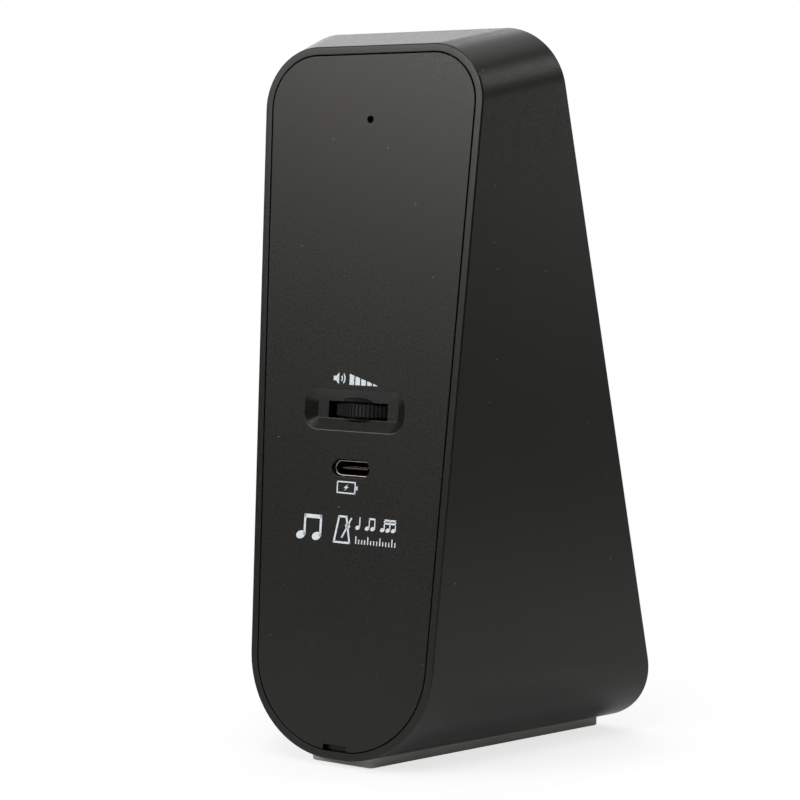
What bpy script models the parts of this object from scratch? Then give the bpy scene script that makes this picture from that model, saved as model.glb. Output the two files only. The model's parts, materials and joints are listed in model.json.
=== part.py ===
"""Electronic metronome with a tapered, leaning body. Lengths are in millimetres until a mesh is made."""

import math

import bmesh
import bpy
from mathutils import Matrix, Vector

MM = 0.001
GAP = 0.3

# Body: a ring-shaped shell between a narrow rear outline and a wider front outline.
# An outline is (half spacing, radius, height) of its top corner circles, then of its bottom ones.
REAR_LEAN = math.radians(6.1)
FRONT_LEAN = math.radians(11.3)
REAR_ORIGIN = Vector((0.0, 31.86, 3.3))
FRONT_ORIGIN = Vector((0.0, -32.05, 1.9))
REAR_OUTLINE = ((14.4, 12.4, 134.4), (1.6, 21.1, 19.3))
FRONT_OUTLINE = ((21.0, 13.0, 141.2), (27.6, 14.5, 14.5))
RIM = 1.65
WALL = 2.6
LEDGE = 1.6
REAR_PANEL_DEPTH = 1.8
FRONT_PANEL_DEPTH = 2.0
CORNER_STEPS = 9

# Base pad, a trapezoid let into the underside: (half width, y) at its rear and its front.
PAD_REAR = (7.4, 29.3)
PAD_FRONT = (29.3, -30.6)
PAD_TOP = 2.7
PAD_EDGE = 0.6

# Rear panel, heights up its face. A recess outline is (half width, half height, corner radius).
PINHOLE_Z = 131.4
PINHOLE_R = 0.75
VOLUME_Z = 70.9
RECESS_MOUTH = (12.4, 4.35, 3.4)
RECESS_FLOOR = (9.95, 1.9, 0.6)
RECESS_DEPTH = 1.6
WINDOW_HALF = 7.35
WHEEL_R = 9.8
WHEEL_THICK = 2.95
WHEEL_AXIS_Y = 10.8
WHEEL_BORE_R = 1.3
USB_Z = 58.85
USB_SPACING = 2.84
USB_R = 1.63
USB_WALL = 0.3
USB_FRONT_Y = 1.1
USB_BACK_Y = 8.8
USB_CLEARANCE = 0.17
NOTCH_HALF = 2.95
NOTCH_Z = 1.25
NOTCH_DEPTH = 1.5

# Front panel, heights up its face.
DISPLAY_OUTLINE = ((20.5, 4.0, 137.0), (24.0, 4.0, 95.0))
DIGITS_HALF = (19.0, 9.0)
DIGITS_Z = 106.0
ARC_Z = 62.0
ARC_R = 68.0
ARC_LIGHTS = 11
ARC_STEP = math.radians(4.0)
KNOB_Z = 67.0
KNOB_R = 15.5
KNOB_TOP_Y = -9.5
SHAFT_R = 2.65
BUTTON_X = 25.0
BUTTON_R = 5.0
BUTTONS = {
    "beat_button": (-BUTTON_X, 77.0),
    "sound_button": (-BUTTON_X, 57.0),
    "tap_button": (BUTTON_X, 77.0),
    "play_button": (BUTTON_X, 57.0),
}
SPEAKER_Z = 25.0
SPEAKER_SCREW = 14.4
SPEAKER_CONE_R = 14.8
SLOT_PITCH = 4.2
SLOT_R = 0.95
SLOT_REACH = 15.0
BOARD_Y = (12.0, 13.6)
BOARD_OUTLINE = ((21.0, 2.0, 136.0), (27.0, 2.0, 50.0))
BOARD_POSTS = ((-24.0, 86.0), (24.0, 86.0), (-12.0, 51.5), (12.0, 51.5))
SCREW_HOLE_R = 1.2
SCREW_R = 0.9
SCREW_HEAD_R = 1.9
BOSS_R = 2.5
BOSS_Y = 3.2

frames = {}
materials = {}


# Scene, materials and mesh helpers

def clear_scene():
    for item in list(bpy.data.objects):
        bpy.data.objects.remove(item, do_unlink=True)


def make_frames():
    """Empties that carry the leaning rear face and front face: x across, y into the body, z up the face."""
    for name, place, turn in (
        ("rear_frame", REAR_ORIGIN, (-REAR_LEAN, 0.0, math.pi)),
        ("front_frame", FRONT_ORIGIN, (-FRONT_LEAN, 0.0, 0.0)),
    ):
        empty = bpy.data.objects.new(name, None)
        empty.location = place * MM
        empty.rotation_euler = turn
        bpy.context.scene.collection.objects.link(empty)
        frames[name] = empty


def material(name, colour, roughness, metallic=0.0):
    if name not in materials:
        item = bpy.data.materials.new(name)
        item.use_nodes = True
        shader = item.node_tree.nodes["Principled BSDF"]
        shader.inputs["Base Color"].default_value = (*colour, 1.0)
        shader.inputs["Roughness"].default_value = roughness
        shader.inputs["Metallic"].default_value = metallic
        materials[name] = item
    return materials[name]


def add_body(bm, loops, closed=False):
    """Adds one body: a skin over successive loops, capped at both ends or closed on itself."""
    rings = [[bm.verts.new(Vector(point) * MM) for point in loop] for loop in loops]
    pairs = list(zip(rings, rings[1:]))
    if closed:
        pairs.append((rings[-1], rings[0]))
    for first, second in pairs:
        count = len(first)
        for i in range(count):
            j = (i + 1) % count
            bm.faces.new((first[i], first[j], second[j], second[i]))
    if not closed:
        bm.faces.new(rings[0])
        bm.faces.new(rings[-1])


def make_object(name, bodies, frame=None, place=(0.0, 0.0, 0.0), finish=None, smooth=True):
    """Makes an object from a list of (loops, closed) bodies, placed in a frame at its own origin."""
    bm = bmesh.new()
    for loops, closed in bodies:
        add_body(bm, loops, closed)
    bmesh.ops.recalc_face_normals(bm, faces=bm.faces)
    mesh = bpy.data.meshes.new(name)
    bm.to_mesh(mesh)
    bm.free()
    item = bpy.data.objects.new(name, mesh)
    item.location = Vector(place) * MM
    item.parent = frames.get(frame)
    bpy.context.scene.collection.objects.link(item)
    if finish:
        mesh.materials.append(finish)
    if smooth:
        mesh.shade_smooth()
        mesh.set_sharp_from_angle(angle=math.radians(30))
    return item


def combine(target, name, bodies, operation, frame):
    """Joins to or cuts from the target the bodies, given in the same frame."""
    tool = make_object(name, bodies, frame)
    tool.hide_render = True
    tool.display_type = "WIRE"
    change = target.modifiers.new(name, "BOOLEAN")
    change.operation = operation
    change.object = tool


# Outline helpers

def rounded_taper(outline, grow=0.0, steps=CORNER_STEPS):
    """Points (x, z) around a symmetric tapered outline whose corners are arcs."""
    (x1, r1, z1), (x2, r2, z2) = outline
    across, up = x1 - x2, z1 - z2
    side = math.atan2(up, across) - math.acos((r2 - r1) / math.hypot(across, up))
    right = []
    for x, r, z, start, end in (
        (x1, r1, z1, math.pi / 2, side),
        (x2, r2, z2, side, -math.pi / 2),
    ):
        for i in range(steps + 1):
            angle = start + (end - start) * i / steps
            right.append((x + (r + grow) * math.cos(angle), z + (r + grow) * math.sin(angle)))
    return right + [(-x, z) for x, z in reversed(right)]


def stadium(spacing, radius, steps=8):
    """Points (x, z) around a slot whose end centres are at +-spacing."""
    right = []
    for i in range(steps + 1):
        angle = math.pi / 2 - math.pi * i / steps
        right.append((spacing + radius * math.cos(angle), radius * math.sin(angle)))
    return right + [(-x, z) for x, z in reversed(right)]


def rounded_box(half_x, half_z, radius, steps=5):
    """Points (x, z) round a rectangle with rounded corners."""
    points = []
    for side_x, side_z, start in ((1, 1, 0.0), (-1, 1, 90.0), (-1, -1, 180.0), (1, -1, 270.0)):
        for i in range(steps + 1):
            angle = math.radians(start + 90.0 * i / steps)
            points.append((
                side_x * (half_x - radius) + radius * math.cos(angle),
                side_z * (half_z - radius) + radius * math.sin(angle),
            ))
    return points


def circle(radius, sides):
    return [
        (radius * math.cos(2 * math.pi * i / sides), radius * math.sin(2 * math.pi * i / sides))
        for i in range(sides)
    ]


def at_depth(outline, y, x0=0.0, z0=0.0):
    """Puts an (x, z) outline at a depth y, moved by (x0, z0)."""
    return [(x0 + x, y, z0 + z) for x, z in outline]


def prism(outline, y0, y1, x0=0.0, z0=0.0):
    return [at_depth(outline, y0, x0, z0), at_depth(outline, y1, x0, z0)], False


def box(x0, x1, y0, y1, z0, z1):
    return prism([(x0, z0), (x1, z0), (x1, z1), (x0, z1)], y0, y1)


def turned(profile, x0=0.0, z0=0.0, sides=32, closed=False):
    """Turns a profile of (radius, y) about an axis along y through (x0, z0)."""
    return [at_depth(circle(r, sides), y, x0, z0) for r, y in profile], closed


def upright(profile, y0, sides=48, closed=False):
    """Turns a profile of (radius, z) about an axis along z through (0, y0)."""
    loops = [[(x, y0 + y, z) for x, y in circle(r, sides)] for r, z in profile]
    return loops, closed


# Places on the leaning faces, in world millimetres

def on_rear(x, y, z):
    """World point at x across, y into the body and z up the rear face."""
    turn = Matrix.Rotation(-REAR_LEAN, 3, "X")
    local = turn @ Vector((0.0, y, z))
    return REAR_ORIGIN + Vector((x, -local.y, local.z))


def on_front(x, y, z):
    turn = Matrix.Rotation(-FRONT_LEAN, 3, "X")
    return FRONT_ORIGIN + turn @ Vector((x, y, z))


def wall_loop(grow, rear_depth):
    """Loop where the straight wall between both outlines meets a plane parallel to the rear face."""
    rear = [on_rear(x, 0.0, z) for x, z in rounded_taper(REAR_OUTLINE, grow)]
    front = [on_front(x, 0.0, z) for x, z in rounded_taper(FRONT_OUTLINE, grow)]
    inward = on_rear(0.0, 1.0, 0.0) - on_rear(0.0, 0.0, 0.0)
    loop = []
    for start, end in zip(rear, front):
        run = end - start
        loop.append(start + run * (rear_depth / run.dot(inward)))
    return loop


# Casing

def make_shell(plastic):
    def rear_loop(grow, depth):
        return [on_rear(x, depth, z) for x, z in rounded_taper(REAR_OUTLINE, grow)]

    def front_loop(grow, depth):
        return [on_front(x, depth, z) for x, z in rounded_taper(FRONT_OUTLINE, grow)]

    rear_seat = REAR_PANEL_DEPTH + GAP
    front_seat = FRONT_PANEL_DEPTH + GAP
    ledge_grow = -RIM - LEDGE
    loops = [
        rear_loop(0.0, 0.0),
        front_loop(0.0, 0.0),
        front_loop(-RIM, 0.0),
        front_loop(-RIM, front_seat),
        front_loop(ledge_grow, front_seat),
        front_loop(ledge_grow, front_seat + LEDGE),
        wall_loop(-WALL, rear_seat + LEDGE),
        rear_loop(ledge_grow, rear_seat + LEDGE),
        rear_loop(ledge_grow, rear_seat),
        rear_loop(-RIM, rear_seat),
        rear_loop(-RIM, 0.0),
    ]
    shell = make_object("shell", [(loops, True)], finish=plastic)
    pocket = pad_body(GAP, -1.0, PAD_TOP + GAP)
    combine(shell, "shell_pad_pocket", [pocket], "DIFFERENCE", None)


def pad_body(grow, z0, z1):
    """The pad's trapezoid between two heights, grown outwards by a margin."""
    (half_rear, y_rear), (half_front, y_front) = PAD_REAR, PAD_FRONT
    corners = (
        (half_rear + grow, y_rear + grow),
        (half_front + grow, y_front - grow),
        (-half_front - grow, y_front - grow),
        (-half_rear - grow, y_rear + grow),
    )
    return [[(x, y, z) for x, y in corners] for z in (z0, z1)], False


def make_base_pad(rubber):
    pad = make_object("base_pad", [pad_body(0.0, 0.0, PAD_TOP)], finish=rubber, smooth=False)
    edge = pad.modifiers.new("edge", "BEVEL")
    edge.width = PAD_EDGE * MM
    edge.segments = 2
    edge.limit_method = "ANGLE"


def make_rear_panel(plastic):
    outline = rounded_taper(REAR_OUTLINE, -RIM - GAP)
    panel = make_object("rear_panel", [prism(outline, 0.0, REAR_PANEL_DEPTH)], "rear_frame", finish=plastic)
    back = REAR_PANEL_DEPTH - 0.1
    ribs = [
        box(-14.5, 14.5, back, 3.3, VOLUME_Z - 6.6, VOLUME_Z + 6.6),
        box(-13.3, -11.3, back, 14.0, USB_Z - 6.0, USB_Z + 0.5),
        box(11.3, 13.3, back, 14.0, USB_Z - 6.0, USB_Z + 0.5),
    ]
    combine(panel, "rear_panel_ribs", ribs, "UNION", "rear_frame")
    recess = [
        at_depth(rounded_box(*RECESS_MOUTH), -1.0, z0=VOLUME_Z),
        at_depth(rounded_box(*RECESS_MOUTH), 0.0, z0=VOLUME_Z),
        at_depth(rounded_box(*RECESS_FLOOR), RECESS_DEPTH, z0=VOLUME_Z),
    ]
    combine(panel, "rear_panel_recess", [(recess, False)], "DIFFERENCE", "rear_frame")
    half = WHEEL_THICK / 2 + GAP
    openings = [
        box(-WINDOW_HALF, WINDOW_HALF, 1.0, 5.0, VOLUME_Z - half, VOLUME_Z + half),
        prism(stadium(USB_SPACING, USB_R + USB_CLEARANCE), -1.0, 5.0, z0=USB_Z),
        prism(circle(PINHOLE_R, 16), -1.0, 5.0, z0=PINHOLE_Z),
        box(-NOTCH_HALF, NOTCH_HALF, -1.0, NOTCH_DEPTH, -2.0, NOTCH_Z),
    ]
    combine(panel, "rear_panel_openings", openings, "DIFFERENCE", "rear_frame")


def make_front_panel(plastic):
    outline = rounded_taper(FRONT_OUTLINE, -RIM - GAP)
    slab = prism(outline, 0.0, FRONT_PANEL_DEPTH)
    panel = make_object("front_panel", [slab], "front_frame", finish=plastic)
    back = FRONT_PANEL_DEPTH - 0.1
    bosses = [prism(rounded_taper(DISPLAY_OUTLINE, 1.0, 5), back, BOSS_Y)]
    bosses += [prism(circle(BOSS_R, 16), back, BOARD_Y[0] - GAP, x, z) for x, z in BOARD_POSTS]
    bosses += [prism(circle(BOSS_R, 16), back, BOSS_Y, x, z) for x, z in speaker_corners()]
    combine(panel, "front_panel_bosses", bosses, "UNION", "front_frame")
    display_opening = [
        at_depth(rounded_taper(DISPLAY_OUTLINE, grow, 5), y)
        for grow, y in ((0.0, -1.0), (0.0, 1.7), (-1.8, 1.7), (-1.8, 5.0))
    ]
    holes = [(display_opening, False), prism(circle(4.0, 24), -1.0, 4.0, 0.0, KNOB_Z)]
    holes += [prism(circle(BUTTON_R + GAP, 28), -1.0, 4.0, x, z) for x, z in BUTTONS.values()]
    holes += [prism(circle(SCREW_HOLE_R, 12), 6.5, 14.0, x, z) for x, z in BOARD_POSTS]
    holes += [prism(circle(SCREW_HOLE_R, 12), 0.9, 5.0, x, z) for x, z in speaker_corners()]
    for row in range(-3, 4):
        offset = row * SLOT_PITCH
        reach = math.sqrt(SLOT_REACH ** 2 - offset ** 2)
        holes.append(prism(stadium(reach - SLOT_R, SLOT_R, 5), -1.0, 4.0, z0=SPEAKER_Z + offset))
    combine(panel, "front_panel_holes", holes, "DIFFERENCE", "front_frame")


def make_ballast(steel):
    shape = [[(-13, 13.5, z), (13, 13.5, z), (18, -5.0, z), (-18, -5.0, z)] for z in (5.4, 13.4)]
    make_object("ballast_weight", [(shape, False)], finish=steel, smooth=False)


# Rear controls

def make_volume_control(plastic, board, metal):
    shape = upright(
        [(WHEEL_R - 0.3, -WHEEL_THICK / 2), (WHEEL_R, -WHEEL_THICK / 2 + 0.3),
         (WHEEL_R, WHEEL_THICK / 2 - 0.3), (WHEEL_R - 0.3, WHEEL_THICK / 2),
         (WHEEL_BORE_R, WHEEL_THICK / 2), (WHEEL_BORE_R, -WHEEL_THICK / 2)],
        0.0, 64, True,
    )
    axis = (0.0, WHEEL_AXIS_Y, VOLUME_Z)
    make_object("volume_wheel", [shape], "rear_frame", axis, plastic)
    top = WHEEL_THICK / 2 + GAP
    under = -top
    screw = upright([(SCREW_R, under - 0.7), (SCREW_R, top), (2.3, top), (2.3, top + 0.8)], 0.0, 16)
    make_object("volume_wheel_screw", [screw], "rear_frame", axis, metal)
    pot = upright(
        [(WHEEL_BORE_R, under - 1.0), (WHEEL_BORE_R, under), (5.5, under), (5.5, under - 1.3)],
        0.0, 32,
    )
    make_object("volume_pot_body", [pot], "rear_frame", axis, board)


def make_volume_board(board):
    top = VOLUME_Z - WHEEL_THICK / 2 - GAP - 1.6
    plate = box(-11, 11, 5, 21, top - 1.3, top)
    make_object("volume_board", [plate], "rear_frame", finish=board, smooth=False)


def make_usb_socket(metal, board, plastic):
    outer = stadium(USB_SPACING, USB_R)
    inner = stadium(USB_SPACING, USB_R - USB_WALL)
    can = [
        at_depth(inner, USB_BACK_Y - 0.5, z0=USB_Z),
        at_depth(inner, USB_FRONT_Y, z0=USB_Z),
        at_depth(outer, USB_FRONT_Y, z0=USB_Z),
        at_depth(outer, USB_BACK_Y, z0=USB_Z),
    ]
    make_object("usb_socket_shell", [(can, False)], "rear_frame", finish=metal)
    tongue = box(-3.3, 3.3, USB_FRONT_Y + 0.7, 8.0, USB_Z - 0.35, USB_Z + 0.35)
    make_object("usb_socket_tongue", [tongue], "rear_frame", finish=plastic, smooth=False)
    top = USB_Z - USB_R - GAP
    plate = box(-11, 11, 3.5, 20, top - 1.6, top)
    make_object("usb_board", [plate], "rear_frame", finish=board, smooth=False)


def make_microphone(rubber, metal):
    boot = turned(
        [(0.8, 2.1), (4.2, 2.1), (4.2, 6.6), (3.2, 6.6), (3.2, 3.1), (0.8, 3.1)], 0.0, PINHOLE_Z, 24, True
    )
    make_object("microphone_boot", [boot], "rear_frame", finish=rubber)
    capsule = turned([(2.9, 3.4), (2.9, 6.2)], 0.0, PINHOLE_Z, 24)
    make_object("microphone_capsule", [capsule], "rear_frame", finish=metal)


def make_battery(plastic, wrap):
    tray = make_object("battery_tray", [box(-17.3, 17.3, 2.1, 8.0, 13.5, 52.2)], "rear_frame", finish=plastic,
                       smooth=False)
    pocket = box(-15.8, 15.8, 3.6, 9.0, 15.0, 50.9)
    combine(tray, "battery_tray_pocket", [pocket], "DIFFERENCE", "rear_frame")
    cell = make_object("battery_cell", [box(-15.4, 15.4, 4.0, 11.5, 15.4, 50.5)], "rear_frame", finish=wrap)
    edge = cell.modifiers.new("edge", "BEVEL")
    edge.width = 2.0 * MM
    edge.segments = 2


# Front controls and display

def make_display(lens, face, guide):
    pane = prism(rounded_taper(DISPLAY_OUTLINE, -GAP, 5), 0.0, 1.4)
    make_object("display_lens", [pane], "front_frame", finish=lens)
    half_x, half_z = DIGITS_HALF
    digits = box(-half_x, half_x, 3.5, 11.6, DIGITS_Z - half_z, DIGITS_Z + half_z)
    make_object("digit_display", [digits], "front_frame", finish=face, smooth=False)
    reach = ARC_STEP * (ARC_LIGHTS // 2) + math.radians(2.0)
    steps = 16
    band = []
    for i in range(steps + 1):
        angle = -reach + 2 * reach * i / steps
        across, up = math.sin(angle), math.cos(angle)
        band.append([
            (radius * across, y, ARC_Z + radius * up)
            for radius, y in ((ARC_R - 2.4, 6.0), (ARC_R + 2.4, 6.0), (ARC_R + 2.4, 8.5), (ARC_R - 2.4, 8.5))
        ])
    arc = make_object("pendulum_light_guide", [(band, False)], "front_frame", finish=guide)
    pips = [prism(circle(1.6, 12), 3.5, 6.5, x, z) for x, z in arc_lights()]
    combine(arc, "pendulum_light_pips", pips, "UNION", "front_frame")


def arc_lights():
    middle = ARC_LIGHTS // 2
    angles = [(i - middle) * ARC_STEP for i in range(ARC_LIGHTS)]
    return [(ARC_R * math.sin(a), ARC_Z + ARC_R * math.cos(a)) for a in angles]


def make_main_board(board, metal):
    near, far = BOARD_Y
    plate = prism(rounded_taper(BOARD_OUTLINE, 0.0, 3), near, far)
    item = make_object("main_board", [plate], "front_frame", finish=board, smooth=False)
    chips = [box(-7, 7, far - 0.1, far + 1.4, 88, 102)]
    chips += [box(x - 1.0, x + 1.0, near - 0.9, near + 0.1, z - 1.0, z + 1.0) for x, z in arc_lights()]
    combine(item, "main_board_chips", chips, "UNION", "front_frame")
    holes = [prism(circle(SCREW_HOLE_R, 12), near - 2, far + 2, x, z) for x, z in BOARD_POSTS]
    combine(item, "main_board_holes", holes, "DIFFERENCE", "front_frame")
    for number, (x, z) in enumerate(BOARD_POSTS, 1):
        head = far + GAP
        shape = turned([(SCREW_R, 7.0), (SCREW_R, head), (SCREW_HEAD_R, head), (SCREW_HEAD_R, head + 1.2)],
                       sides=12)
        make_object(f"board_screw_{number}", [shape], "front_frame", (x, 0.0, z), metal)


def make_tempo_control(plastic, board, metal):
    body = make_object("encoder_body", [box(-6, 6, 5.4, 11.6, KNOB_Z - 6, KNOB_Z + 6)], "front_frame",
                       finish=board, smooth=False)
    bushing = turned([(3.5, -1.0), (3.5, 5.6)], 0.0, KNOB_Z, 24)
    combine(body, "encoder_bushing", [bushing], "UNION", "front_frame")
    bore = turned([(SHAFT_R + GAP, -2.0), (SHAFT_R + GAP, 6.5)], 0.0, KNOB_Z, 24)
    combine(body, "encoder_bore", [bore], "DIFFERENCE", "front_frame")
    axis = (0.0, 0.0, KNOB_Z)
    shaft = turned([(SHAFT_R - 0.3, -6.9), (SHAFT_R, -6.6), (SHAFT_R, 6.2)], sides=24)
    make_object("encoder_shaft", [shaft], "front_frame", axis, metal)
    bore_r = SHAFT_R + GAP
    knob = turned(
        [(bore_r, -7.2), (bore_r, -2.0), (5.5, -2.0), (5.5, -7.7), (KNOB_R - 2, -7.7), (KNOB_R - 2, -0.5),
         (KNOB_R, -0.5), (KNOB_R, KNOB_TOP_Y + 0.8), (KNOB_R - 0.8, KNOB_TOP_Y)],
        sides=48,
    )
    make_object("tempo_knob", [knob], "front_frame", axis, plastic)


def make_buttons(rubber, board):
    back = FRONT_PANEL_DEPTH + GAP
    profile = [
        (BUTTON_R - 0.4, -1.2), (BUTTON_R, -0.8), (BUTTON_R, back), (BUTTON_R + 1.0, back),
        (BUTTON_R + 1.0, back + 1.0), (1.5, back + 1.0), (1.5, 7.4),
    ]
    for name, (x, z) in BUTTONS.items():
        make_object(name, [turned(profile, sides=28)], "front_frame", (x, 0.0, z), rubber)
        switch = make_object(name.replace("button", "switch"), [box(-3, 3, 8.7, 11.7, -3, 3)], "front_frame",
                             (x, 0.0, z), board, smooth=False)
        plunger = turned([(1.7, 8.2), (1.7, 9.0)], x, z, 16)
        combine(switch, name.replace("button", "plunger"), [plunger], "UNION", "front_frame")


# Speaker

def speaker_corners():
    return [
        (x * SPEAKER_SCREW, SPEAKER_Z + z * SPEAKER_SCREW) for x, z in ((-1, -1), (1, -1), (1, 1), (-1, 1))
    ]


def make_speaker(steel, paper, foam, cloth, metal):
    place = (0.0, 0.0, SPEAKER_Z)
    make_object("grille_cloth", [turned([(15.2, 2.3), (15.2, 2.7)], sides=40)], "front_frame", place, cloth)
    ring = turned([(15.5, 2.3), (17.3, 2.3), (17.3, 3.2), (15.5, 3.2)], sides=40, closed=True)
    make_object("speaker_gasket", [ring], "front_frame", place, foam)
    basket = turned(
        [(15.2, 3.6), (16.4, 3.6), (16.4, 6.9), (10.3, 15.2), (5.0, 15.2), (5.0, 14.2), (9.3, 14.2),
         (15.2, 6.5)],
        0.0, SPEAKER_Z, 40, True,
    )
    frame = make_object("speaker_frame", [basket], "front_frame", finish=steel)
    corner = 4.0
    reach = SPEAKER_SCREW + 2.6
    square = ((reach - corner, corner, reach - corner), (reach - corner, corner, corner - reach))
    plate = prism(rounded_taper(square, 0.0, 4), 3.5, 4.5, z0=SPEAKER_Z)
    combine(frame, "speaker_flange", [plate], "UNION", "front_frame")
    holes = [prism(circle(SCREW_HOLE_R, 12), 3.0, 5.0, x, z) for x, z in speaker_corners()]
    holes.append(prism(circle(15.2, 40), 3.0, 5.5, z0=SPEAKER_Z))
    combine(frame, "speaker_flange_holes", holes, "DIFFERENCE", "front_frame")
    cone = turned(
        [(1.0, 8.6), (3.0, 8.9), (4.5, 9.8), (SPEAKER_CONE_R - 1.4, 5.6), (SPEAKER_CONE_R - 0.7, 5.0),
         (SPEAKER_CONE_R, 5.4), (SPEAKER_CONE_R, 5.9), (SPEAKER_CONE_R - 1.4, 6.3), (4.7, 10.8),
         (4.0, 13.6), (1.0, 13.6)],
        sides=40,
    )
    make_object("speaker_cone", [cone], "front_frame", place, paper)
    magnet = turned([(11.0, 15.5), (11.0, 21.0), (10.0, 21.6)], sides=32)
    make_object("speaker_magnet", [magnet], "front_frame", place, metal)
    for number, (x, z) in enumerate(speaker_corners(), 1):
        shape = turned([(SCREW_R, 1.2), (SCREW_R, 4.8), (SCREW_HEAD_R, 4.8), (SCREW_HEAD_R, 6.0)], sides=12)
        make_object(f"speaker_screw_{number}", [shape], "front_frame", (x, 0.0, z), metal)


# Leads

def make_lead(name, start, leave, arrive, end, finish):
    """A lead of round section along a cubic curve through free space."""
    curve = bpy.data.curves.new(name, "CURVE")
    curve.dimensions = "3D"
    curve.bevel_depth = 0.6 * MM
    curve.bevel_resolution = 1
    curve.use_fill_caps = True
    spline = curve.splines.new("POLY")
    steps = 14
    spline.points.add(steps)
    for i, point in enumerate(spline.points):
        t = i / steps
        s = 1.0 - t
        place = start * s ** 3 + leave * 3 * s * s * t + arrive * 3 * s * t * t + end * t ** 3
        point.co = (*(place * MM), 1.0)
    item = bpy.data.objects.new(name, curve)
    bpy.context.scene.collection.objects.link(item)
    curve.materials.append(finish)


def make_leads(red, black):
    for side, finish, name in ((-1, red, "positive"), (1, black, "negative")):
        make_lead(
            f"battery_lead_{name}",
            on_rear(side * 6, 12.2, 49.0),
            on_rear(side * 6, 19.0, 50.0),
            on_rear(side * 7, 22.5, 45.0),
            on_rear(side * 7, 17.0, USB_Z - USB_R - GAP - 2.6),
            finish,
        )
        make_lead(
            f"speaker_lead_{name}",
            on_front(side * 8, 22.5, 31.0),
            on_front(side * 8, 28.0, 38.0),
            on_front(side * 7, 24.0, 56.0),
            on_front(side * 7, 14.6, 60.0),
            finish,
        )


def main():
    clear_scene()
    make_frames()
    black = material("casing_plastic", (0.022, 0.022, 0.021), 0.5)
    grey_rubber = material("pad_rubber", (0.15, 0.155, 0.135), 0.8)
    gloss = material("fascia_plastic", (0.015, 0.015, 0.016), 0.2)
    keys = material("key_rubber", (0.05, 0.05, 0.052), 0.7)
    board = material("board_laminate", (0.02, 0.12, 0.05), 0.5)
    component = material("component_plastic", (0.03, 0.03, 0.03), 0.5)
    steel = material("steel", (0.6, 0.6, 0.6), 0.35, 1.0)
    make_shell(black)
    make_base_pad(grey_rubber)
    make_rear_panel(black)
    make_front_panel(gloss)
    make_ballast(steel)
    make_volume_control(component, component, steel)
    make_volume_board(board)
    make_usb_socket(steel, board, component)
    make_microphone(keys, steel)
    make_battery(component, material("cell_wrap", (0.1, 0.25, 0.5), 0.4))
    make_display(
        material("smoked_lens", (0.01, 0.01, 0.012), 0.08),
        material("digit_face", (0.04, 0.04, 0.045), 0.5),
        material("light_guide", (0.6, 0.6, 0.58), 0.4),
    )
    make_main_board(board, steel)
    make_tempo_control(component, component, steel)
    make_buttons(keys, component)
    make_speaker(
        material("painted_steel", (0.03, 0.03, 0.03), 0.5, 0.5),
        material("cone_paper", (0.02, 0.02, 0.02), 0.9),
        material("foam", (0.04, 0.04, 0.04), 0.95),
        material("cloth", (0.015, 0.015, 0.015), 0.95),
        steel,
    )
    make_leads(material("lead_red", (0.5, 0.03, 0.02), 0.5), material("lead_black", (0.02, 0.02, 0.02), 0.5))


main()
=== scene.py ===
"""Looks of the electronic metronome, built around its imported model.

Lengths are in millimetres until a mesh is made. The frames of the rear and the front face have x across,
y into the body and z up the face.
"""

import json
import math

import bmesh
import bpy
from mathutils import Euler, Matrix, Vector


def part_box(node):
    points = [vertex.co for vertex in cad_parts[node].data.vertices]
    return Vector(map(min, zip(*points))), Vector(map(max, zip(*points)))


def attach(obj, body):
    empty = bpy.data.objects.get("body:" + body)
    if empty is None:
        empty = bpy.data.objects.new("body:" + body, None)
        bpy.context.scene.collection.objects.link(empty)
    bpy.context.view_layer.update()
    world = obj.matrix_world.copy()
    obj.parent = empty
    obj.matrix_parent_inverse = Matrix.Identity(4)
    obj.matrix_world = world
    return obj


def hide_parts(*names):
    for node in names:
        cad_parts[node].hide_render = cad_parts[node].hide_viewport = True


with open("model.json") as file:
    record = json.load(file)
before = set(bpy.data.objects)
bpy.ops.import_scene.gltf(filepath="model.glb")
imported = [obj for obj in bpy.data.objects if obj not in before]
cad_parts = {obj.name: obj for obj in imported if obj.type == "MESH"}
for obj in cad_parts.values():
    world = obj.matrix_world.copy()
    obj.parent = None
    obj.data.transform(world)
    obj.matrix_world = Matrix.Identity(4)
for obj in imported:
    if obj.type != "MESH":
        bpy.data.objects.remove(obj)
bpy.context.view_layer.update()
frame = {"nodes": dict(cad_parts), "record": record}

MM = 0.001
GAP = 0.3

# The body's two leaning faces, as the CAD has them. An outline is given by its upper and lower corner arcs:
# how far their centres lie from the middle line, their radius, and their height.
REAR_LEAN = math.radians(6.1)
FRONT_LEAN = math.radians(11.3)
REAR_ORIGIN = Vector((0.0, 31.86, 3.3))
FRONT_ORIGIN = Vector((0.0, -32.05, 1.9))
REAR_OUTLINE = ((14.4, 12.4, 134.4), (1.6, 21.1, 19.3))
FRONT_OUTLINE = ((21.0, 13.0, 141.2), (27.6, 14.5, 14.5))
DISPLAY_OUTLINE = ((20.5, 4.0, 137.0), (24.0, 4.0, 95.0))
CORNER_STEPS = 26

# The casing: its rim, wall and the ledge that carries the panels, and the radii of its edges.
RIM = 1.65
WALL = 2.6
LEDGE = 1.6
REAR_PANEL_DEPTH = 1.8
FRONT_PANEL_DEPTH = 2.0
REAR_EDGE = 0.3
FRONT_EDGE = 0.18
SEAM_EDGE = 0.14
SEAM_GAP = 0.22
PAD_REAR_HALF = 7.4
PAD_CORNER = 1.0
PAD_EDGE = 0.25

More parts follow.
